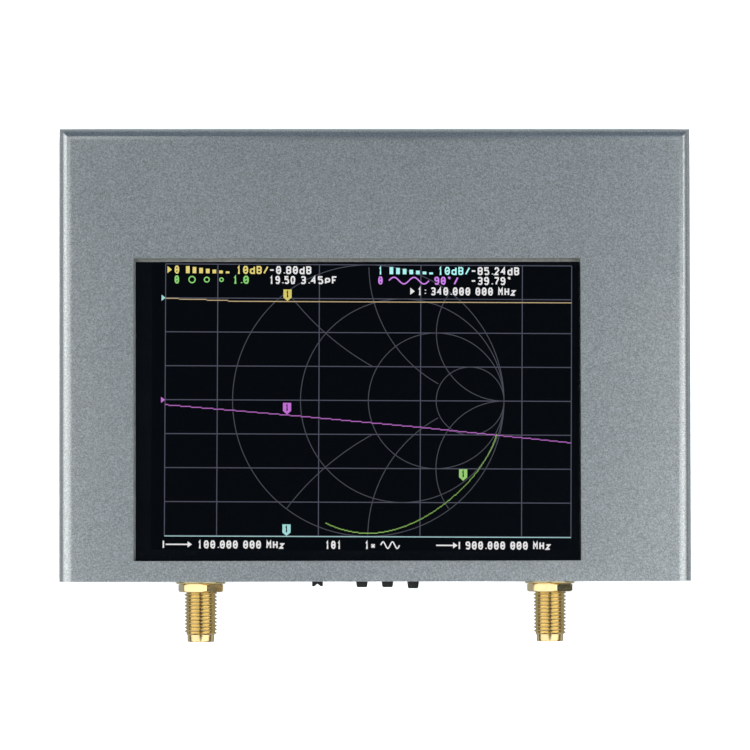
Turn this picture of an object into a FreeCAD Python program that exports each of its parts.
import FreeCAD, Part
import math
import os

from FreeCAD import Vector

# Hand-held vector network analyzer in a folded aluminium enclosure, lying on its back.
# +Z is out of the screen, +X is to the screen's right, and the two coaxial test ports
# point along -Y. The origin is at the middle of the footprint, on the table under the feet.
# All sizes are in millimetres.

# ---------------------------------------------------------------- driving dimensions
CASE_WIDTH = 122.4            # along X, over the folded side flanges
CASE_DEPTH = 87.8             # along Y, from the cut edge at the ports to the far flange
OVERALL_HEIGHT = 20.5         # along Z, feet included
PORT_REACH = 11.75            # how far the test ports stand out of the case
SMALL = 0.02                  # assembly clearance between nested pieces
PAST = 1.0                    # how far a cutting tool runs past what it cuts

# enclosure
COVER_SHEET = 1.5             # sheet thickness of the front cover
COVER_BEND = 2.6              # outside radius of the front cover's bends
SEAM_WIDTH = 0.2              # open seam between the side flanges and the far flange
TRAY_SHEET = 1.2              # sheet thickness of the rear cover
TRAY_BEND = 1.5               # outside radius of the rear cover's bend
COVER_GAP = 0.2               # between the rear cover and the front cover's flanges
FOOT_HEIGHT = 1.5
FOOT_RADIUS = 4.0
FOOT_SPREAD = (46.0, 36.5)    # feet, from the middle of the case
WINDOW_LEFT_MARGIN = 14.4     # case edge to display window
WINDOW_RIGHT_MARGIN = 21.4
WINDOW_FAR_MARGIN = 25.2
WINDOW_PORT_MARGIN = 4.0

# side screws and the tabs that they hold
SIDE_SCREW_SHIFTS = (-22.0, 28.0)   # along Y, from the middle of the case
SIDE_SCREW_Z = 6.6
SCREW_HEAD_RADIUS = 2.3
SCREW_SHANK_RADIUS = 1.2
SCREW_LENGTH = 5.0
HEAD_CLEARANCE = 0.1
SHANK_CLEARANCE = 0.2
THREAD_CLEARANCE = 0.05
DRIVE_LENGTH = 2.3            # cross recess, tip to tip
DRIVE_WIDTH = 0.45
DRIVE_DEPTH = 0.7
TAB_HALF_LENGTH = 7.0
TAB_TOP_Z = 10.3
RELIEF_WIDTH = 1.0            # bend relief at each end of a tab
CLINCH_SHANK_RADIUS = 2.1
CLINCH_BODY_RADIUS = 2.75
CLINCH_BODY_LENGTH = 1.6

# controls on the port panel
BUTTON_X = (-2.5, 2.5, 7.5)   # press button centres
BUTTON_REACH = (1.2, 1.2, 1.45)
BUTTON_TRAVEL = 0.25
BUTTON_WIDTH = 2.0
BUTTON_HEIGHT = 1.2
BUTTON_TAPER = 0.25           # how much narrower the tip is
BUTTON_CORNER = 0.28
BUTTON_BODY_WIDTH = 4.4
BUTTON_BODY_DEPTH = 3.2
COLLAR_WIDTH = 2.8            # collar that keeps the plunger in
COLLAR_HEIGHT = 1.7
COLLAR_THICKNESS = 0.5
POCKET_CLEARANCE = 0.3        # across the collar, both sides together
SWITCH_X = -11.18             # power switch knob, at the left end of its slot
SWITCH_REACH = 1.0
SWITCH_TRAVEL = 2.0
SWITCH_BODY_WIDTH = 8.6
SWITCH_BODY_DEPTH = 3.0
KNOB_WIDTH = 2.1
KNOB_HEIGHT = 1.3
NOTCH_WIDTH = 1.2             # V notch in the knob's tip
NOTCH_DEPTH = 0.5
CARRIAGE_WIDTH = 4.4          # slider inside the switch body
CARRIAGE_DEPTH = 1.6
CARRIAGE_HEIGHT = 1.8
SWITCHGEAR_HEIGHT = 2.4       # slide switch and press switches, below the board
SWITCH_WALL = 0.4             # front wall of those switches
SWITCH_PLATE = 0.15           # sheet of their metal covers
PANEL_OPENING_GAP = 0.2       # round each plunger and the knob, in the panel
MOUTH_GAP = 0.15              # round each plunger and the knob, in its switch
LED_X = (12.2, 26.6)
LED_SIZE = (1.6, 1.0, 1.0)
LED_HOLE_RADIUS = 0.75

# USB socket
USB_X = 18.8
USB_WIDTH = 8.94
USB_HEIGHT = 3.16
USB_CORNER = 1.25
USB_LENGTH = 7.35
USB_WALL = 0.3
USB_BLADE = (6.7, 4.4, 0.7)
USB_BASE_DEPTH = 1.8

# circuit board and its fixings
BOARD_THICKNESS = 1.6
BOARD_CORNER = 1.5
BOARD_HOLE_RADIUS = 1.35
FIXING_SPREAD = (53.0, 35.5)  # board fixings, from the middle of the case
STANDOFF_FLATS = 5.0
STANDOFF_BOSS_RADIUS = 2.1
STANDOFF_BORE_DEPTH = 6.5
BOARD_SCREW_HEAD_RADIUS = 2.25
BOARD_SCREW_HEAD_HEIGHT = 1.6
BOARD_SCREW_REACH = 5.0       # below the board

# display stack
STACK_X = (-48.5, 48.5)
STACK_PORT_MARGIN = 2.6       # case edge to the stack
STACK_FAR_MARGIN = 23.45
TOUCH_THICKNESS = 0.9
ADHESIVE_THICKNESS = 0.15
LCD_THICKNESS = 1.45
DISPLAY_FRAME_Z0 = 14.9
DISPLAY_FRAME_SHEET = 0.2
LEDGE_LEFT = 0.35             # adhesive border that shows inside the window
LEDGE_FAR = 0.62
LCD_END_GAP = 1.5             # display panel's end to the frame's end, for the cable
BACKLIGHT_END_GAP = 6.0
LCD_FLEX_SHIFTS = (-16.0, 4.5)      # along Y, from the middle of the case
LCD_FLEX_THICKNESS = 0.2
TOUCH_FLEX_SHIFTS = (11.0, 15.0)
TOUCH_FLEX_THICKNESS = 0.15
FPC_X = (44.0, 48.0)
FPC_HEIGHT = 1.2
FPC_MOUTH_DEPTH = 2.0
FPC_MOUTH_HEIGHT = 0.3
PAD_X = (-44.0, 36.0)
PAD_SHIFTS = (-34.0, 16.0)

# battery and its leads
BATTERY_X = (-42.0, 38.0)
BATTERY_SHIFTS = (-27.0, 31.0)
BATTERY_THICKNESS = 5.0
BATTERY_EDGE = 1.6            # rounding of the pouch's long edges
BATTERY_END = 3.0             # protection board at the end of the cell
TAPE_THICKNESS = 0.2
TAPE_INSET = (5.0, 6.0)
LEAD_RADIUS = 0.6
LEAD_PITCH = 1.5
LEAD_RISE = 5.5               # last straight run, up to the plug
PLUG_X = 50.0
PLUG_SHIFT = 5.0
PLUG_SIZE = (4.5, 5.0, 2.3)
SOCKET_SIZE = (6.2, 6.0, 3.2)
SOCKET_POCKET_DEPTH = 4.0

# parts on the underside of the board
SHIELD_HEIGHT = 2.4
SHIELD_SHEET = 0.2
SHIELD_SHIFTS = (-35.0, -13.0)
SHIELD_X = {"bridge": (-47.0, -21.0), "source": (-16.0, 12.0), "receiver": (25.0, 48.0)}
RF_CHIPS = ((-5.5, 4.0), (5.5, 3.0))        # place along X and side, under each shield
RF_CHIP_HEIGHT = 0.9
PROCESSOR_PLACE = (8.0, 6.0)  # x, and y from the middle of the case
PROCESSOR_SIDE = 7.0
PROCESSOR_SPAN = 9.0          # over the leads
PROCESSOR_HEIGHT = 1.45
LEAD_FRAME_PITCH = 0.5
LEAD_FRAME_COUNT = 12         # leads on each side
LEAD_FRAME_WIDTH = 0.22
LEAD_FRAME_THICKNESS = 0.2
OSCILLATOR_PLACE = (-2.0, 6.0)
OSCILLATOR_SIZE = (5.0, 3.2, 1.2)
COIL_PLACE = (42.0, -6.0)
COIL_SIZE = (5.0, 5.0, 2.0)
CHIP_PART_SIZE = (1.6, 0.8, 0.8)
CHIP_PART_GRID = (8, 3)       # columns and rows
CHIP_PART_START = (-34.0, 2.0)
CHIP_PART_PITCH = (3.4, 4.0)

# coaxial test ports: 1/4-36 threaded barrel
PORT_X = (-33.9, 34.05)       # test port axes
PORT_Z = 13.0
THREAD_RADIUS = 3.175
NECK_RADIUS = 2.85            # thread root, where the barrel passes the panel and the nut
THREAD_CHAMFER = 0.3
TIP_RADIUS = 2.68
TIP_LENGTH = 1.4
TIP_CHAMFER = 0.25
PORT_FLANGE = 7.0             # square flange behind the panel
PORT_FLANGE_THICKNESS = 1.2
PORT_LEG = 1.0                # square legs that hold the board's edge
PORT_LEG_OFFSET = 2.4
PORT_LEG_LENGTH = 4.5
PORT_MOUTH_RADIUS = 2.3
PORT_MOUTH_DEPTH = 1.95
INSULATOR_RADIUS = 2.05
SOCKET_RADIUS = 0.635         # centre contact
SOCKET_HOLE_RADIUS = 0.47
SOCKET_HOLE_DEPTH = 2.6
SOCKET_SLOT_WIDTH = 0.16
SOCKET_SLOT_DEPTH = 1.8
PIN_RADIUS = 0.45             # centre contact's tail, which lies on the board
PIN_LENGTH = 3.2
WASHER_THICKNESS = 0.5
WASHER_RADIUS = 4.78
NUT_THICKNESS = 1.6
NUT_FLATS = 7.94
NUT_CHAMFER = (0.5, 0.28)     # radial and axial
NUT_TURN_DEG = (15.0, 13.5)   # a corner of each nut, measured from +Z towards +X

# ---------------------------------------------------------------- derived places
HALF_WIDTH = CASE_WIDTH / 2
CASE_Y0 = -(CASE_DEPTH + PORT_REACH) / 2 + PORT_REACH
CASE_Y1 = CASE_Y0 + CASE_DEPTH
CASE_MID_Y = (CASE_Y0 + CASE_Y1) / 2
TOP_Z = OVERALL_HEIGHT
COVER_Z0 = FOOT_HEIGHT
SHEET_UNDER_Z = TOP_Z - COVER_SHEET
FLOOR_TOP_Z = COVER_Z0 + TRAY_SHEET

TRAY_HALF_X = HALF_WIDTH - COVER_SHEET - COVER_GAP
TAB_INNER_X = TRAY_HALF_X - TRAY_SHEET
TRAY_Y1 = CASE_Y1 - COVER_SHEET - COVER_GAP
PANEL_Y0 = CASE_Y0 + 0.05     # outer face of the port panel
PANEL_Y1 = PANEL_Y0 + TRAY_SHEET
PANEL_Z1 = SHEET_UNDER_Z - 0.15

BOARD_TOP_Z = PORT_Z - PIN_RADIUS
BOARD_UNDER_Z = BOARD_TOP_Z - BOARD_THICKNESS
BOARD_HALF_X = HALF_WIDTH - 4.0
BOARD_Y0 = PANEL_Y1 + PORT_FLANGE_THICKNESS + 0.15
BOARD_Y1 = CASE_Y1 - 2.9

WINDOW_X = (-HALF_WIDTH + WINDOW_LEFT_MARGIN, HALF_WIDTH - WINDOW_RIGHT_MARGIN)
WINDOW_Y = (CASE_Y0 + WINDOW_PORT_MARGIN, CASE_Y1 - WINDOW_FAR_MARGIN)

STACK_Y = (CASE_Y0 + STACK_PORT_MARGIN, CASE_Y1 - STACK_FAR_MARGIN)
TOUCH_Z1 = SHEET_UNDER_Z - 0.1
TOUCH_Z0 = TOUCH_Z1 - TOUCH_THICKNESS
ADHESIVE_Z0 = TOUCH_Z0 - ADHESIVE_THICKNESS
LCD_Z0 = ADHESIVE_Z0 - LCD_THICKNESS
DISPLAY_FLOOR_Z = DISPLAY_FRAME_Z0 + DISPLAY_FRAME_SHEET

BATTERY_Z0 = FLOOR_TOP_Z + TAPE_THICKNESS
BATTERY_Z1 = BATTERY_Z0 + BATTERY_THICKNESS
PLUG_Y0 = CASE_MID_Y + PLUG_SHIFT
PLUG_Z = BOARD_UNDER_Z - SOCKET_SIZE[2] / 2
SWITCHGEAR_Z = BOARD_UNDER_Z - SWITCHGEAR_HEIGHT / 2
SWITCHGEAR_Z_SPAN = (BOARD_UNDER_Z - SWITCHGEAR_HEIGHT, BOARD_UNDER_Z)
SWITCHGEAR_Y0 = PANEL_Y1 + 0.2
SWITCH_CENTRE_X = SWITCH_X + SWITCH_TRAVEL / 2
COLLAR_Y0 = SWITCHGEAR_Y0 + SWITCH_WALL + 0.05
COLLAR_Y1 = COLLAR_Y0 + COLLAR_THICKNESS
DOME_CROWN_Y = COLLAR_Y1 + BUTTON_TRAVEL + 0.1
DOME_SEAT_Y = DOME_CROWN_Y + 0.3
LED_Z = BOARD_UNDER_Z - LED_SIZE[2] / 2
USB_Z = BOARD_UNDER_Z - USB_HEIGHT / 2
USB_Y0 = PANEL_Y0 + 0.1

# distances outside the port panel's outer face
PORT_END = PORT_REACH + (PANEL_Y0 - CASE_Y0)
NUT_END = WASHER_THICKNESS + NUT_THICKNESS
THREAD_START = NUT_END + 0.1
THREAD_END = PORT_END - TIP_LENGTH

X_AXIS = Vector(1, 0, 0)
Y_AXIS = Vector(0, 1, 0)
Z_AXIS = Vector(0, 0, 1)


# ---------------------------------------------------------------- helpers
def near(a, b):
    return abs(a - b) < 1e-4


def grown(span, amount):
    return (span[0] - amount, span[1] + amount)


def shifted(shifts):
    """A span along Y that is given from the middle of the case."""
    return (CASE_MID_Y + shifts[0], CASE_MID_Y + shifts[1])


def corners_of(spread):
    """The four points at plus and minus spread round the middle of the case."""
    return [(sx * spread[0], CASE_MID_Y + sy * spread[1]) for sx in (-1, 1) for sy in (-1, 1)]


def box(x_span, y_span, z_span):
    size = [high - low for low, high in (x_span, y_span, z_span)]
    return Part.makeBox(*size, Vector(x_span[0], y_span[0], z_span[0]))


def centred_box(centre, size):
    spans = [(c - s / 2, c + s / 2) for c, s in zip(centre, size)]
    return box(*spans)


def hung_box(place, size):
    """A block under the board, at x and at y from the middle of the case."""
    return centred_box((place[0], CASE_MID_Y + place[1], BOARD_UNDER_Z - size[2] / 2), size)


def side_span(side, outer, inner):
    """A span along X between two distances from the middle, on the given side."""
    return tuple(sorted((side * outer, side * inner)))


def rod_x(radius, x_span, y, z):
    return Part.makeCylinder(radius, x_span[1] - x_span[0], Vector(x_span[0], y, z), X_AXIS)


def rod_y(radius, x, y_span, z):
    return Part.makeCylinder(radius, y_span[1] - y_span[0], Vector(x, y_span[0], z), Y_AXIS)


def rod_z(radius, x, y, z_span):
    return Part.makeCylinder(radius, z_span[1] - z_span[0], Vector(x, y, z_span[0]), Z_AXIS)


def edges_along(shape, axis):
    """The straight edges of a shape that run along an axis."""
    found = []
    for edge in shape.Edges:
        direction = edge.tangentAt(edge.FirstParameter)
        if near(abs(direction.dot(axis)), 1) and isinstance(edge.Curve, Part.Line):
            found.append(edge)
    return found


def edges_where(shape, test):
    """Edges whose every end point passes the test."""
    return [e for e in shape.Edges if e.Vertexes and all(test(v.Point) for v in e.Vertexes)]


def rim_edges(shape, z):
    """The closed round edges of a shape at a height."""
    return [e for e in shape.Edges if e.isClosed() and near(e.Vertexes[0].Z, z)]


def rounded_bar_y(x, z, width, height, corner, y_span):
    """A bar along Y with a rounded rectangular section."""
    centre = (x, (y_span[0] + y_span[1]) / 2, z)
    bar = centred_box(centre, (width, y_span[1] - y_span[0], height))
    return bar.makeFillet(corner, edges_along(bar, Y_AXIS))


def hexagon_prism(flats, centre, axis, first_corner, length):
    """A hexagonal bar from centre along axis, with one corner towards first_corner."""
    radius = flats / math.sqrt(3)
    corners = []
    for k in range(6):
        turned = FreeCAD.Rotation(axis, 60.0 * k).multVec(first_corner)
        corners.append(centre + turned * radius)
    face = Part.Face(Part.makePolygon(corners + corners[:1]))
    return face.extrude(axis * length)


def revolve_about_y(profile, x, z):
    """Turn a closed list of (radius, y) points about the line through x, z along Y."""
    points = [Vector(x + r, y, z) for r, y in profile]
    face = Part.Face(Part.makePolygon(points + points[:1]))
    return face.revolve(Vector(x, 0, z), Y_AXIS, 360)


def cross_recess(centre, axis_index):
    """Two crossed slots at a screw head's face, whose axis is X (0) or Z (2)."""
    slots = []
    others = [i for i in range(3) if i != axis_index]
    for long_axis in others:
        size = [DRIVE_WIDTH] * 3
        size[long_axis] = DRIVE_LENGTH
        size[axis_index] = 2 * DRIVE_DEPTH
        slots.append(centred_box(centre, size))
    return slots[0].fuse(slots[1])


def tangent_path(points):
    """A wire of straight runs joined by tangent arcs, each as large as its runs allow."""
    edges = []
    radii = []
    start = points[0]
    for before, corner, after in zip(points, points[1:], points[2:]):
        to_before = before - corner
        to_after = after - corner
        half_turn = (math.pi - to_before.getAngle(to_after)) / 2
        cut = 0.45 * min(to_before.Length, to_after.Length)
        radius = cut / math.tan(half_turn)
        to_before.normalize()
        to_after.normalize()
        inward = to_before + to_after
        inward.normalize()
        arc_start = corner + to_before * cut
        arc_middle = corner + inward * (radius / math.cos(half_turn) - radius)
        arc_end = corner + to_after * cut
        edges.append(Part.LineSegment(start, arc_start).toShape())
        edges.append(Part.Arc(arc_start, arc_middle, arc_end).toShape())
        radii.append(round(radius, 2))
        start = arc_end
    edges.append(Part.LineSegment(start, points[-1]).toShape())
    return Part.Wire(edges), radii


def tube_along(points, radius):
    path, radii = tangent_path(points)
    section = Part.Wire(Part.makeCircle(radius, points[0], points[1] - points[0]))
    tube = path.makePipeShell([section], True, False)
    expected = math.pi * radius ** 2 * path.Length
    ratio = round(tube.Volume / expected, 4)
    print("lead radii", radii, "length", round(path.Length, 2), "volume ratio", ratio)
    return tube


def u_turn_strip(x_places, z_places, thickness, y_span):
    """A flat cable that leaves along +X, turns down round a half circle and comes back.

    x_places are where it starts, where it turns and where it ends; z_places are the
    heights of its upper and lower runs.
    """
    start_x, turn_x, end_x = x_places
    high_z, low_z = z_places
    radius = (high_z - low_z) / 2
    centre = Vector(turn_x, y_span[0], (high_z + low_z) / 2)
    width = y_span[1] - y_span[0]
    half = thickness / 2
    ring = Part.makeCylinder(radius + half, width, centre, Y_AXIS)
    ring = ring.cut(Part.makeCylinder(radius - half, width, centre, Y_AXIS))
    bend = ring.common(box((turn_x, turn_x + radius + PAST), y_span, (low_z - PAST, high_z + PAST)))
    upper = box((start_x, turn_x), y_span, (high_z - half, high_z + half))
    lower = box((end_x, turn_x), y_span, (low_z - half, low_z + half))
    return bend.fuse([upper, lower]).removeSplitter()


# ---------------------------------------------------------------- enclosure
def folded_block(half_x, y_span, z_span, radius):
    """A block whose top edges are rounded, apart from the one at the port side."""
    block = box((-half_x, half_x), y_span, z_span)

    def on_top(point):
        return near(point.z, z_span[1])

    def at_ports(edge):
        return all(near(v.Y, y_span[0]) for v in edge.Vertexes)

    bends = [e for e in edges_where(block, on_top) if not at_ports(e)]
    return block.makeFillet(radius, bends)


def side_screw_places():
    """Side (-1 or 1) and y of each side screw."""
    return [(side, CASE_MID_Y + shift) for side in (-1, 1) for shift in SIDE_SCREW_SHIFTS]


def side_cone(side, y, outer_radius, inner_radius):
    """A 90 degree cone whose wide end is on the side flange's outer face."""
    base = Vector(side * HALF_WIDTH, y, SIDE_SCREW_Z)
    return Part.makeCone(outer_radius, inner_radius, outer_radius - inner_radius, base, X_AXIS * -side)


def make_front_cover():
    """Sheet folded down on the left, right and far sides, with the display window."""
    outer = folded_block(HALF_WIDTH, (CASE_Y0, CASE_Y1), (COVER_Z0, TOP_Z), COVER_BEND)
    inner = folded_block(
        HALF_WIDTH - COVER_SHEET,
        (CASE_Y0 - PAST, CASE_Y1 - COVER_SHEET),
        (COVER_Z0 - PAST, SHEET_UNDER_Z),
        COVER_BEND - COVER_SHEET,
    )
    cover = outer.cut(inner)
    cover = cover.cut(box(WINDOW_X, WINDOW_Y, (SHEET_UNDER_Z - PAST, TOP_Z + PAST)))
    seam_y = (CASE_Y1 - COVER_SHEET - SEAM_WIDTH, CASE_Y1 - COVER_SHEET)
    for side in (-1, 1):
        seam_x = side_span(side, HALF_WIDTH + PAST, HALF_WIDTH - COVER_SHEET)
        cover = cover.cut(box(seam_x, seam_y, (COVER_Z0 - PAST, TOP_Z - COVER_BEND)))
    hole_radius = SCREW_SHANK_RADIUS + SHANK_CLEARANCE
    for side, y in side_screw_places():
        hole_x = side_span(side, HALF_WIDTH + PAST, HALF_WIDTH - COVER_SHEET - PAST)
        cover = cover.cut(side_cone(side, y, SCREW_HEAD_RADIUS + HEAD_CLEARANCE, hole_radius))
        cover = cover.cut(rod_x(hole_radius, hole_x, y, SIDE_SCREW_Z))
    return cover


def panel_cutouts():
    """Everything that is punched through the port panel, as one tool shape."""
    through = (PANEL_Y0 - PAST, PANEL_Y1 + TRAY_BEND / 3)
    middle = (through[0] + through[1]) / 2
    depth = through[1] - through[0]
    gap = 2 * PANEL_OPENING_GAP
    cuts = [rod_y(THREAD_RADIUS + 0.1, x, through, PORT_Z) for x in PORT_X]
    cuts += [rod_y(LED_HOLE_RADIUS, x, through, LED_Z) for x in LED_X]
    for x in BUTTON_X:
        size = (BUTTON_WIDTH + gap, depth, BUTTON_HEIGHT + gap)
        cuts.append(centred_box((x, middle, SWITCHGEAR_Z), size))
    slot_size = (KNOB_WIDTH + SWITCH_TRAVEL + 1.5 * gap, depth, KNOB_HEIGHT + gap)
    cuts.append(centred_box((SWITCH_CENTRE_X, middle, SWITCHGEAR_Z), slot_size))
    usb_gap = 0.5
    usb_size = (USB_WIDTH + usb_gap, USB_HEIGHT + usb_gap)
    cuts.append(rounded_bar_y(USB_X, USB_Z, *usb_size, USB_CORNER + usb_gap / 2, through))
    return cuts[0].multiFuse(cuts[1:])


def make_port_panel():
    """The upright wall at the ports, its top corners clear of the front cover's bends."""
    panel = box((-TRAY_HALF_X, TRAY_HALF_X), (PANEL_Y0, PANEL_Y1), (COVER_Z0, PANEL_Z1))
    upper = [e for e in edges_along(panel, Y_AXIS) if near(e.Vertexes[0].Z, PANEL_Z1)]
    return panel.makeFillet(COVER_BEND - COVER_SHEET + 0.3, upper)


def make_rear_cover():
    """Floor, port panel and four screw tabs, folded from one sheet."""
    floor = box((-TRAY_HALF_X, TRAY_HALF_X), (PANEL_Y0, TRAY_Y1), (COVER_Z0, FLOOR_TOP_Z))
    tray = floor.fuse(make_port_panel()).removeSplitter()

    def outer_bend(point):
        return near(point.y, PANEL_Y0) and near(point.z, COVER_Z0)

    def inner_bend(point):
        return near(point.y, PANEL_Y1) and near(point.z, FLOOR_TOP_Z)

    tray = tray.makeFillet(TRAY_BEND, edges_where(tray, outer_bend))
    tray = tray.makeFillet(TRAY_BEND - TRAY_SHEET, edges_where(tray, inner_bend))
    for side, y in side_screw_places():
        tab_x = side_span(side, TRAY_HALF_X, TAB_INNER_X)
        tab_y = (y - TAB_HALF_LENGTH, y + TAB_HALF_LENGTH)
        tray = tray.fuse(box(tab_x, tab_y, (COVER_Z0, TAB_TOP_Z)))
        relief_x = side_span(side, TRAY_HALF_X + PAST, TRAY_HALF_X - 2 * TRAY_SHEET)
        for relief_y in ((tab_y[0] - RELIEF_WIDTH, tab_y[0]), (tab_y[1], tab_y[1] + RELIEF_WIDTH)):
            tray = tray.cut(box(relief_x, relief_y, (COVER_Z0 - PAST, FLOOR_TOP_Z + PAST)))
        tray = tray.cut(rod_x(CLINCH_SHANK_RADIUS, grown(tab_x, PAST), y, SIDE_SCREW_Z))
    for x, y in corners_of(FIXING_SPREAD):
        tray = tray.cut(rod_z(STANDOFF_BOSS_RADIUS, x, y, (COVER_Z0 - PAST, FLOOR_TOP_Z + PAST)))
    return tray.cut(panel_cutouts()).removeSplitter()


def make_cover_screws():
    screws = []
    for side, y in side_screw_places():
        head = side_cone(side, y, SCREW_HEAD_RADIUS, SCREW_SHANK_RADIUS)
        shank_x = side_span(side, HALF_WIDTH - SCREW_HEAD_RADIUS / 4, HALF_WIDTH - SCREW_LENGTH)
        screw = head.fuse(rod_x(SCREW_SHANK_RADIUS, shank_x, y, SIDE_SCREW_Z))
        screw = screw.cut(cross_recess((side * HALF_WIDTH, y, SIDE_SCREW_Z), 0))
        screws.append(screw.removeSplitter())
    return Part.makeCompound(screws)


def make_clinch_nuts():
    nuts = []
    for side, y in side_screw_places():
        body_x = side_span(side, TAB_INNER_X, TAB_INNER_X - CLINCH_BODY_LENGTH)
        shank_x = side_span(side, TAB_INNER_X, TRAY_HALF_X - 0.1)
        bore_x = side_span(side, TAB_INNER_X - CLINCH_BODY_LENGTH - PAST, TRAY_HALF_X + PAST)
        body = rod_x(CLINCH_BODY_RADIUS, body_x, y, SIDE_SCREW_Z)
        shank = rod_x(CLINCH_SHANK_RADIUS - SMALL, shank_x, y, SIDE_SCREW_Z)
        bore = rod_x(SCREW_SHANK_RADIUS + THREAD_CLEARANCE, bore_x, y, SIDE_SCREW_Z)
        nuts.append(body.fuse(shank).cut(bore))
    return Part.makeCompound(nuts)


def make_rubber_feet():
    feet = []
    for x, y in corners_of(FOOT_SPREAD):
        foot = rod_z(FOOT_RADIUS, x, y, (0, FOOT_HEIGHT))
        feet.append(foot.makeChamfer(0.3, rim_edges(foot, 0)))
    return Part.makeCompound(feet)


# ---------------------------------------------------------------- display stack
def make_touch_panel():
    return box(STACK_X, STACK_Y, (TOUCH_Z0, TOUCH_Z1))


def make_touch_adhesive():
    """A border ring; its opening shows a thin ledge at the window's left and far sides."""
    ring = box(STACK_X, STACK_Y, (ADHESIVE_Z0, TOUCH_Z0))
    opening_x = (WINDOW_X[0] + LEDGE_LEFT, WINDOW_X[1] + 1.2)
    opening_y = (WINDOW_Y[0] - 0.4, WINDOW_Y[1] - LEDGE_FAR)
    return ring.cut(box(opening_x, opening_y, (ADHESIVE_Z0 - PAST, TOUCH_Z0 + PAST)))


def make_lcd_frame():
    """A shallow metal tray, open at the cable end for the display's flat cable."""
    above = ADHESIVE_Z0 + PAST
    tray = box(STACK_X, STACK_Y, (DISPLAY_FRAME_Z0, ADHESIVE_Z0))
    inside_x = grown(STACK_X, -DISPLAY_FRAME_SHEET)
    inside_y = grown(STACK_Y, -DISPLAY_FRAME_SHEET)
    tray = tray.cut(box(inside_x, inside_y, (DISPLAY_FLOOR_Z, above)))
    gap_x = (STACK_X[1] - LCD_END_GAP, STACK_X[1] + PAST)
    gap_y = grown(shifted(LCD_FLEX_SHIFTS), 0.5)
    return tray.cut(box(gap_x, gap_y, (DISPLAY_FLOOR_Z, above)))


def display_layer(z_span, end_gap):
    """A slab that fills the display's frame, apart from a gap at the cable end."""
    inset = DISPLAY_FRAME_SHEET + 0.1
    return box((STACK_X[0] + inset, STACK_X[1] - end_gap), grown(STACK_Y, -inset), z_span)


def make_lcd_panel():
    return display_layer((LCD_Z0, ADHESIVE_Z0), LCD_END_GAP)


def make_backlight_unit():
    return display_layer((DISPLAY_FLOOR_Z, LCD_Z0), BACKLIGHT_END_GAP)


def make_display_pad():
    return box(PAD_X, shifted(PAD_SHIFTS), (BOARD_TOP_Z, DISPLAY_FRAME_Z0))


def make_lcd_flex():
    """From the display panel's end, round the frame's end and into the connector."""
    x_places = (STACK_X[1] - LCD_END_GAP, STACK_X[1] + 1.7, FPC_X[1] - FPC_MOUTH_DEPTH + 0.5)
    z_places = (LCD_Z0 + 0.4, BOARD_TOP_Z + FPC_HEIGHT / 2)
    return u_turn_strip(x_places, z_places, LCD_FLEX_THICKNESS, shifted(LCD_FLEX_SHIFTS))


def make_touch_flex():
    """From the touch panel's end down to the board, outside the display's cable."""
    x_places = (STACK_X[1], STACK_X[1] + 3.1, STACK_X[1] + 0.5)
    z_places = (TOUCH_Z0 + TOUCH_THICKNESS / 2, BOARD_TOP_Z + TOUCH_FLEX_THICKNESS / 2)
    return u_turn_strip(x_places, z_places, TOUCH_FLEX_THICKNESS, shifted(TOUCH_FLEX_SHIFTS))


def make_fpc_connector():
    flex_y = shifted(LCD_FLEX_SHIFTS)
    body = box(FPC_X, grown(flex_y, 1.0), (BOARD_TOP_Z, BOARD_TOP_Z + FPC_HEIGHT))
    middle_z = BOARD_TOP_Z + FPC_HEIGHT / 2
    mouth_x = (FPC_X[1] - FPC_MOUTH_DEPTH, FPC_X[1] + PAST)
    mouth_z = (middle_z - FPC_MOUTH_HEIGHT / 2, middle_z + FPC_MOUTH_HEIGHT / 2)
    return body.cut(box(mouth_x, grown(flex_y, 0.1), mouth_z))


# ---------------------------------------------------------------- circuit board
def make_main_board():
    board = box((-BOARD_HALF_X, BOARD_HALF_X), (BOARD_Y0, BOARD_Y1), (BOARD_UNDER_Z, BOARD_TOP_Z))
    board = board.makeFillet(BOARD_CORNER, edges_along(board, Z_AXIS))
    for x, y in corners_of(FIXING_SPREAD):
        board = board.cut(rod_z(BOARD_HOLE_RADIUS, x, y, (BOARD_UNDER_Z - PAST, BOARD_TOP_Z + PAST)))
    return board


def make_board_standoffs():
    """Hexagonal standoffs with a boss pressed into the rear cover's floor."""
    standoffs = []
    for x, y in corners_of(FIXING_SPREAD):
        base = Vector(x, y, FLOOR_TOP_Z)
        body = hexagon_prism(STANDOFF_FLATS, base, Z_AXIS, Y_AXIS, BOARD_UNDER_Z - FLOOR_TOP_Z)
        boss = rod_z(STANDOFF_BOSS_RADIUS - SMALL, x, y, (COVER_Z0, FLOOR_TOP_Z))
        bore_z = (BOARD_UNDER_Z - STANDOFF_BORE_DEPTH, BOARD_UNDER_Z + PAST)
        bore = rod_z(SCREW_SHANK_RADIUS + THREAD_CLEARANCE, x, y, bore_z)
        standoffs.append(body.fuse(boss).cut(bore))
    return Part.makeCompound(standoffs)


def make_board_screws():
    screws = []
    head_z = BOARD_TOP_Z + BOARD_SCREW_HEAD_HEIGHT
    for x, y in corners_of(FIXING_SPREAD):
        head = rod_z(BOARD_SCREW_HEAD_RADIUS, x, y, (BOARD_TOP_Z, head_z))
        head = head.makeFillet(0.7, rim_edges(head, head_z))
        screw = head.fuse(rod_z(SCREW_SHANK_RADIUS, x, y, (BOARD_UNDER_Z - BOARD_SCREW_REACH, BOARD_TOP_Z)))
        screws.append(screw.cut(cross_recess((x, y, head_z), 2)))
    return Part.makeCompound(screws)


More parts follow.
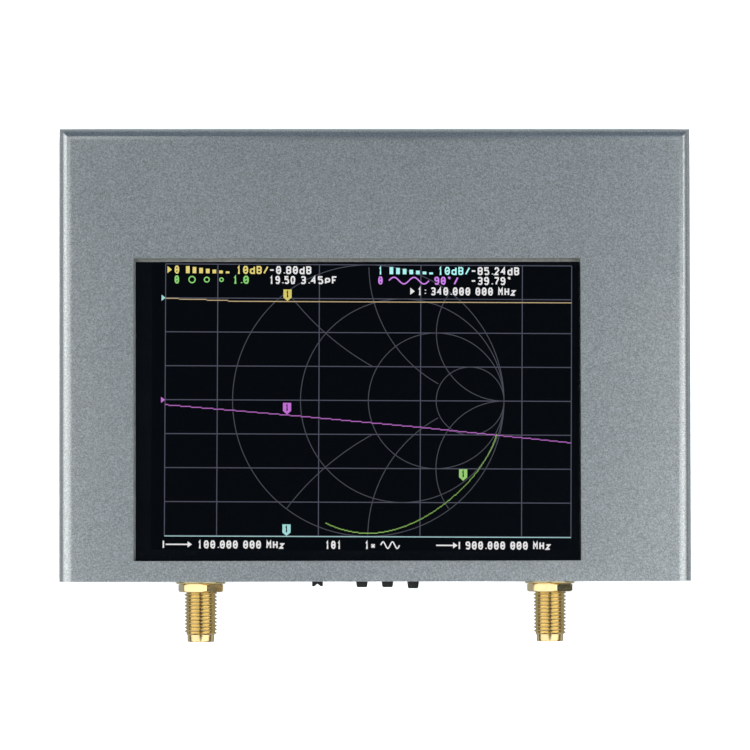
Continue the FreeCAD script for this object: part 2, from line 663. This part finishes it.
def make_shield(x_span):
    """A drawn metal can, open towards the board."""
    y_span = shifted(SHIELD_SHIFTS)
    z0 = BOARD_UNDER_Z - SHIELD_HEIGHT
    can = box(x_span, y_span, (z0, BOARD_UNDER_Z))
    inside_z = (z0 + SHIELD_SHEET, BOARD_UNDER_Z + PAST)
    return can.cut(box(grown(x_span, -SHIELD_SHEET), grown(y_span, -SHIELD_SHEET), inside_z))


def make_rf_chips():
    """Two square chips under each shield."""
    chips = []
    middle_shift = (SHIELD_SHIFTS[0] + SHIELD_SHIFTS[1]) / 2
    for x_span in SHIELD_X.values():
        for along, side in RF_CHIPS:
            place = ((x_span[0] + x_span[1]) / 2 + along, middle_shift)
            chips.append(hung_box(place, (side, side, RF_CHIP_HEIGHT)))
    return Part.makeCompound(chips)


def make_processor_chip():
    """A flat package with a row of straight feet on each side."""
    x, shift = PROCESSOR_PLACE
    body = hung_box(PROCESSOR_PLACE, (PROCESSOR_SIDE, PROCESSOR_SIDE, PROCESSOR_HEIGHT))
    feet = []
    for k in range(LEAD_FRAME_COUNT):
        along = (k - (LEAD_FRAME_COUNT - 1) / 2) * LEAD_FRAME_PITCH
        width, thickness = LEAD_FRAME_WIDTH, LEAD_FRAME_THICKNESS
        feet.append(hung_box((x + along, shift), (width, PROCESSOR_SPAN, thickness)))
        feet.append(hung_box((x, shift + along), (PROCESSOR_SPAN, width, thickness)))
    return body.multiFuse(feet).removeSplitter()


def make_reference_oscillator():
    return hung_box(OSCILLATOR_PLACE, OSCILLATOR_SIZE)


def make_charger_inductor():
    coil = hung_box(COIL_PLACE, COIL_SIZE)
    return coil.makeFillet(COIL_SIZE[0] / 4, edges_along(coil, Z_AXIS))


def make_small_parts():
    """Rows of chip resistors and capacitors on the underside of the board."""
    pieces = []
    for column in range(CHIP_PART_GRID[0]):
        for row in range(CHIP_PART_GRID[1]):
            x = CHIP_PART_START[0] + CHIP_PART_PITCH[0] * column
            shift = CHIP_PART_START[1] + CHIP_PART_PITCH[1] * row
            pieces.append(hung_box((x, shift), CHIP_PART_SIZE))
    return Part.makeCompound(pieces)


def make_indicator_leds():
    y = BOARD_Y0 + LED_SIZE[1] / 2 + 0.1
    return Part.makeCompound([centred_box((x, y, LED_Z), LED_SIZE) for x in LED_X])


# ---------------------------------------------------------------- battery
def make_battery_tape():
    x_span = grown(BATTERY_X, -TAPE_INSET[0])
    y_span = grown(shifted(BATTERY_SHIFTS), -TAPE_INSET[1])
    return box(x_span, y_span, (FLOOR_TOP_Z, BATTERY_Z0))


def make_battery_pack():
    """A foil pouch with its protection board on the end that faces the plug."""
    y_span = shifted(BATTERY_SHIFTS)
    cell = box(BATTERY_X, y_span, (BATTERY_Z0, BATTERY_Z1))
    cell = cell.makeFillet(BATTERY_EDGE, edges_along(cell, X_AXIS))
    end_x = (BATTERY_X[1], BATTERY_X[1] + BATTERY_END)
    return cell.fuse(box(end_x, grown(y_span, -8.0), (BATTERY_Z0 + 1.2, BATTERY_Z1 - 1.0)))


def battery_lead_route(offset):
    """From the battery's end, round towards the plug and up to it; offset is across the pair."""
    low_z = (BATTERY_Z0 + BATTERY_Z1) / 2
    start_y = CASE_MID_Y - 10.0 - offset
    run_x = PLUG_X + offset
    return [
        Vector(BATTERY_X[1] + BATTERY_END, start_y, low_z),
        Vector(run_x, start_y, low_z),
        Vector(run_x, PLUG_Y0 - LEAD_RISE, PLUG_Z),
        Vector(run_x, PLUG_Y0, PLUG_Z),
    ]


def make_battery_lead(offset):
    return tube_along(battery_lead_route(offset), LEAD_RADIUS)


def make_battery_plug():
    return centred_box((PLUG_X, PLUG_Y0 + PLUG_SIZE[1] / 2, PLUG_Z), PLUG_SIZE)


def make_battery_socket():
    y0 = PLUG_Y0 + 1.5
    body = centred_box((PLUG_X, y0 + SOCKET_SIZE[1] / 2, PLUG_Z), SOCKET_SIZE)
    pocket_size = (PLUG_SIZE[0] + 0.2, 2 * SOCKET_POCKET_DEPTH, PLUG_SIZE[2] + 0.2)
    return body.cut(centred_box((PLUG_X, y0, PLUG_Z), pocket_size))


# ---------------------------------------------------------------- power switch
def switch_mouth():
    """The slot that the knob travels in, as a tool that cuts the switch's front."""
    size = (KNOB_WIDTH + SWITCH_TRAVEL + 2 * MOUTH_GAP, 2 * PAST, KNOB_HEIGHT + 2 * MOUTH_GAP)
    return centred_box((SWITCH_CENTRE_X, SWITCHGEAR_Y0, SWITCHGEAR_Z), size)


def switch_x_span():
    return (SWITCH_CENTRE_X - SWITCH_BODY_WIDTH / 2, SWITCH_CENTRE_X + SWITCH_BODY_WIDTH / 2)


def make_power_switch_body():
    y0 = SWITCHGEAR_Y0
    body = box(switch_x_span(), (y0, y0 + SWITCH_BODY_DEPTH), SWITCHGEAR_Z_SPAN)
    hollow_half = (CARRIAGE_WIDTH + SWITCH_TRAVEL) / 2 + 0.2
    hollow_y = (y0 + SWITCH_WALL, y0 + SWITCH_WALL + CARRIAGE_DEPTH + 0.3)
    hollow_z = (SWITCHGEAR_Z - CARRIAGE_HEIGHT / 2 - 0.1, SWITCHGEAR_Z + CARRIAGE_HEIGHT / 2 + 0.1)
    hollow_x = (SWITCH_CENTRE_X - hollow_half, SWITCH_CENTRE_X + hollow_half)
    return body.cut(box(hollow_x, hollow_y, hollow_z)).cut(switch_mouth())


def make_power_switch_plate():
    plate = box(switch_x_span(), (SWITCHGEAR_Y0 - SWITCH_PLATE, SWITCHGEAR_Y0), SWITCHGEAR_Z_SPAN)
    return plate.cut(switch_mouth())


def make_power_switch_slider():
    """Carriage inside the switch, and a knob with a V notch across its tip."""
    tip_y = CASE_Y0 - SWITCH_REACH
    root_y = SWITCHGEAR_Y0 + SWITCH_WALL + 0.1
    knob_centre = (SWITCH_X, (tip_y + root_y) / 2, SWITCHGEAR_Z)
    knob = centred_box(knob_centre, (KNOB_WIDTH, root_y - tip_y, KNOB_HEIGHT))
    low_z = SWITCHGEAR_Z - KNOB_HEIGHT
    corners = [
        Vector(SWITCH_X - NOTCH_WIDTH / 2, tip_y, low_z),
        Vector(SWITCH_X + NOTCH_WIDTH / 2, tip_y, low_z),
        Vector(SWITCH_X, tip_y + NOTCH_DEPTH, low_z),
    ]
    notch = Part.Face(Part.makePolygon(corners + corners[:1])).extrude(Z_AXIS * (2 * KNOB_HEIGHT))
    carriage_centre = (SWITCH_X, root_y + CARRIAGE_DEPTH / 2, SWITCHGEAR_Z)
    carriage = centred_box(carriage_centre, (CARRIAGE_WIDTH, CARRIAGE_DEPTH, CARRIAGE_HEIGHT))
    return knob.cut(notch).fuse(carriage)


# ---------------------------------------------------------------- press buttons
def button_mouth(x):
    size = (BUTTON_WIDTH + 2 * MOUTH_GAP, 2 * PAST, BUTTON_HEIGHT + 2 * MOUTH_GAP)
    return centred_box((x, SWITCHGEAR_Y0, SWITCHGEAR_Z), size)


def make_button_body(x):
    half = BUTTON_BODY_WIDTH / 2
    body = box((x - half, x + half), (SWITCHGEAR_Y0, SWITCHGEAR_Y0 + BUTTON_BODY_DEPTH), SWITCHGEAR_Z_SPAN)
    pocket_y = (SWITCHGEAR_Y0 + SWITCH_WALL, DOME_SEAT_Y)
    pocket_size = (COLLAR_WIDTH + POCKET_CLEARANCE, pocket_y[1] - pocket_y[0], COLLAR_HEIGHT + 0.2)
    pocket = centred_box((x, (pocket_y[0] + pocket_y[1]) / 2, SWITCHGEAR_Z), pocket_size)
    return body.cut(pocket).cut(button_mouth(x))


def make_button_clip(x):
    """The metal cover of a press switch: a front plate with an ear down each side."""
    half = BUTTON_BODY_WIDTH / 2
    front_x = (x - half - SWITCH_PLATE, x + half + SWITCH_PLATE)
    clip = box(front_x, (SWITCHGEAR_Y0 - SWITCH_PLATE, SWITCHGEAR_Y0), SWITCHGEAR_Z_SPAN)
    ear_y = (SWITCHGEAR_Y0, SWITCHGEAR_Y0 + 2.0)
    for ear_x in ((front_x[0], x - half), (x + half, front_x[1])):
        clip = clip.fuse(box(ear_x, ear_y, SWITCHGEAR_Z_SPAN))
    return clip.cut(button_mouth(x)).removeSplitter()


def rectangle_at(x, y, width, height):
    """A rectangular wire across Y, centred at the height of the switches."""
    corners = []
    for sx, sz in ((-1, -1), (1, -1), (1, 1), (-1, 1)):
        corners.append(Vector(x + sx * width / 2, y, SWITCHGEAR_Z + sz * height / 2))
    return Part.makePolygon(corners + corners[:1])


def make_button_plunger(x, reach):
    """A straight stem and collar inside, and a tapered, rounded cap outside."""
    tip_y = CASE_Y0 - reach
    neck_y = CASE_Y0 - 0.1
    neck = rectangle_at(x, neck_y, BUTTON_WIDTH, BUTTON_HEIGHT)
    tip = rectangle_at(x, tip_y, BUTTON_WIDTH - BUTTON_TAPER, BUTTON_HEIGHT - BUTTON_TAPER)
    cap = Part.makeLoft([neck, tip], True, True)

    def at_tip(point):
        return near(point.y, tip_y)

    cap = cap.makeFillet(BUTTON_CORNER, edges_where(cap, at_tip))
    stem_centre = (x, (neck_y + COLLAR_Y0) / 2, SWITCHGEAR_Z)
    stem = centred_box(stem_centre, (BUTTON_WIDTH, COLLAR_Y0 - neck_y, BUTTON_HEIGHT))
    collar_centre = (x, (COLLAR_Y0 + COLLAR_Y1) / 2, SWITCHGEAR_Z)
    collar = centred_box(collar_centre, (COLLAR_WIDTH, COLLAR_THICKNESS, COLLAR_HEIGHT))
    return cap.fuse([stem, collar]).removeSplitter()


def make_contact_domes():
    """Snap domes behind the plungers: shallow hollow frustums resting on the pocket's end."""
    domes = []
    sheet = 0.08
    for x in BUTTON_X:
        profile = [
            (0, DOME_CROWN_Y),
            (0.35, DOME_CROWN_Y),
            (0.85, DOME_SEAT_Y),
            (0.75, DOME_SEAT_Y),
            (0.3, DOME_CROWN_Y + sheet),
            (0, DOME_CROWN_Y + sheet),
        ]
        domes.append(revolve_about_y(profile, x, SWITCHGEAR_Z))
    return Part.makeCompound(domes)


# ---------------------------------------------------------------- USB socket
def make_usb_shell():
    y1 = USB_Y0 + USB_LENGTH
    shell = rounded_bar_y(USB_X, USB_Z, USB_WIDTH, USB_HEIGHT, USB_CORNER, (USB_Y0, y1))
    inside_size = (USB_WIDTH - 2 * USB_WALL, USB_HEIGHT - 2 * USB_WALL)
    inside_y = (USB_Y0 - PAST, y1 - USB_WALL)
    return shell.cut(rounded_bar_y(USB_X, USB_Z, *inside_size, USB_CORNER - USB_WALL, inside_y))


def make_usb_tongue():
    back_y = USB_Y0 + USB_LENGTH - USB_WALL
    inset = USB_WALL + SMALL
    base_size = (USB_WIDTH - 2 * inset, USB_HEIGHT - 2 * inset)
    base = rounded_bar_y(USB_X, USB_Z, *base_size, USB_CORNER - inset, (back_y - USB_BASE_DEPTH, back_y))
    blade_y = back_y - USB_BASE_DEPTH + 0.2 - USB_BLADE[1] / 2
    return base.fuse(centred_box((USB_X, blade_y, USB_Z), USB_BLADE)).removeSplitter()


# ---------------------------------------------------------------- test ports
def out(distance):
    """The y of a plane that lies a distance outside the port panel's outer face."""
    return PANEL_Y0 - distance


def make_port_shell(x):
    """Threaded barrel with a flange and four legs behind the panel, bored through."""
    flange_y = (PANEL_Y1, PANEL_Y1 + PORT_FLANGE_THICKNESS)
    profile = [
        (0, PANEL_Y1),
        (NECK_RADIUS, PANEL_Y1),
        (NECK_RADIUS, out(THREAD_START)),
        (THREAD_RADIUS, out(THREAD_START)),
        (THREAD_RADIUS, out(THREAD_END - THREAD_CHAMFER)),
        (TIP_RADIUS + THREAD_CHAMFER / 3, out(THREAD_END)),
        (TIP_RADIUS, out(THREAD_END)),
        (TIP_RADIUS, out(PORT_END - TIP_CHAMFER)),
        (TIP_RADIUS - TIP_CHAMFER, out(PORT_END)),
        (0, out(PORT_END)),
    ]
    shell = revolve_about_y(profile, x, PORT_Z)
    flange_centre = (x, (flange_y[0] + flange_y[1]) / 2, PORT_Z)
    shell = shell.fuse(centred_box(flange_centre, (PORT_FLANGE, PORT_FLANGE_THICKNESS, PORT_FLANGE)))
    leg_y = (flange_y[1], flange_y[1] + PORT_LEG_LENGTH)
    for side in (-1, 1):
        leg_x = tuple(sorted((x + side * PORT_LEG_OFFSET, x + side * (PORT_LEG_OFFSET + PORT_LEG))))
        for leg_z in (BOARD_TOP_Z, BOARD_UNDER_Z - PORT_LEG):
            shell = shell.fuse(box(leg_x, leg_y, (leg_z, leg_z + PORT_LEG)))
    mouth = rod_y(PORT_MOUTH_RADIUS, x, (out(PORT_END + PAST), out(PORT_END - PORT_MOUTH_DEPTH)), PORT_Z)
    bore = rod_y(INSULATOR_RADIUS, x, (out(PORT_END), flange_y[1] + PAST), PORT_Z)
    return shell.cut(mouth).cut(bore).removeSplitter()


def make_port_insulator(x):
    y_span = (out(PORT_END - PORT_MOUTH_DEPTH), PANEL_Y1 + PORT_FLANGE_THICKNESS)
    plug = rod_y(INSULATOR_RADIUS - SMALL, x, y_span, PORT_Z)
    return plug.cut(rod_y(SOCKET_RADIUS + SMALL, x, grown(y_span, PAST), PORT_Z))


def make_port_contact(x):
    """A slotted socket in the mouth, and a tail that lies on the board."""
    mouth_y = out(PORT_END - PORT_MOUTH_DEPTH) + 0.1
    back_y = PANEL_Y1 + PORT_FLANGE_THICKNESS
    body = rod_y(SOCKET_RADIUS, x, (mouth_y, back_y), PORT_Z)
    body = body.cut(rod_y(SOCKET_HOLE_RADIUS, x, (mouth_y - PAST, mouth_y + SOCKET_HOLE_DEPTH), PORT_Z))
    across = 3 * SOCKET_RADIUS
    for slot in ((SOCKET_SLOT_WIDTH, across), (across, SOCKET_SLOT_WIDTH)):
        body = body.cut(centred_box((x, mouth_y, PORT_Z), (slot[0], 2 * SOCKET_SLOT_DEPTH, slot[1])))
    return body.fuse(rod_y(PIN_RADIUS, x, (back_y, back_y + PIN_LENGTH), PORT_Z))


def make_port_nut(x, turn_deg):
    """Hexagonal nut whose corners are turned down at both faces."""
    turn = math.radians(turn_deg)
    corner = Vector(math.sin(turn), 0, math.cos(turn))
    y_span = (out(NUT_END), out(WASHER_THICKNESS))
    hexagon = hexagon_prism(NUT_FLATS, Vector(x, y_span[0], PORT_Z), Y_AXIS, corner, NUT_THICKNESS)
    corner_radius = NUT_FLATS / math.sqrt(3)
    radial, axial = NUT_CHAMFER
    profile = [
        (0, y_span[0]),
        (corner_radius - radial, y_span[0]),
        (corner_radius, y_span[0] + axial),
        (corner_radius, y_span[1] - axial),
        (corner_radius - radial, y_span[1]),
        (0, y_span[1]),
    ]
    turned = hexagon.common(revolve_about_y(profile, x, PORT_Z))
    return turned.cut(rod_y(NECK_RADIUS + SMALL, x, grown(y_span, PAST), PORT_Z))


def make_port_washer(x):
    y_span = (out(WASHER_THICKNESS), out(0))
    disc = rod_y(WASHER_RADIUS, x, y_span, PORT_Z)
    return disc.cut(rod_y(THREAD_RADIUS + 0.05, x, grown(y_span, PAST), PORT_Z))


# ---------------------------------------------------------------- the whole assembly
def build_nodes():
    nodes = {
        "front_cover": make_front_cover(),
        "rear_cover": make_rear_cover(),
        "cover_screws": make_cover_screws(),
        "clinch_nuts": make_clinch_nuts(),
        "rubber_feet": make_rubber_feet(),
        "touch_panel": make_touch_panel(),
        "touch_adhesive": make_touch_adhesive(),
        "lcd_panel": make_lcd_panel(),
        "lcd_frame": make_lcd_frame(),
        "backlight_unit": make_backlight_unit(),
        "display_pad": make_display_pad(),
        "lcd_flex": make_lcd_flex(),
        "touch_flex": make_touch_flex(),
        "fpc_connector": make_fpc_connector(),
        "main_board": make_main_board(),
        "board_standoffs": make_board_standoffs(),
        "board_screws": make_board_screws(),
        "rf_chips": make_rf_chips(),
        "processor_chip": make_processor_chip(),
        "reference_oscillator": make_reference_oscillator(),
        "charger_inductor": make_charger_inductor(),
        "small_parts": make_small_parts(),
        "indicator_leds": make_indicator_leds(),
        "battery_tape": make_battery_tape(),
        "battery_pack": make_battery_pack(),
        "battery_lead_red": make_battery_lead(LEAD_PITCH / 2),
        "battery_lead_black": make_battery_lead(-LEAD_PITCH / 2),
        "battery_plug": make_battery_plug(),
        "battery_socket": make_battery_socket(),
        "power_switch_body": make_power_switch_body(),
        "power_switch_plate": make_power_switch_plate(),
        "power_switch_slider": make_power_switch_slider(),
        "contact_domes": make_contact_domes(),
        "usb_shell": make_usb_shell(),
        "usb_tongue": make_usb_tongue(),
    }
    for name, x_span in SHIELD_X.items():
        nodes["rf_shield_" + name] = make_shield(x_span)
    for name, x, reach in zip(("left", "middle", "right"), BUTTON_X, BUTTON_REACH):
        nodes["button_body_" + name] = make_button_body(x)
        nodes["button_clip_" + name] = make_button_clip(x)
        nodes["button_plunger_" + name] = make_button_plunger(x, reach)
    for number, x, turn_deg in zip((1, 2), PORT_X, NUT_TURN_DEG):
        port = "port_%d_" % number
        nodes[port + "shell"] = make_port_shell(x)
        nodes[port + "insulator"] = make_port_insulator(x)
        nodes[port + "contact"] = make_port_contact(x)
        nodes[port + "nut"] = make_port_nut(x, turn_deg)
        nodes[port + "washer"] = make_port_washer(x)
    return nodes


def write_nodes(nodes):
    os.makedirs("parts", exist_ok=True)
    for name, shape in nodes.items():
        if not shape.isValid():
            print("not valid:", name)
        shape.exportStep("parts/%s.step" % name)
    print(len(nodes), "nodes written")


write_nodes(build_nodes())
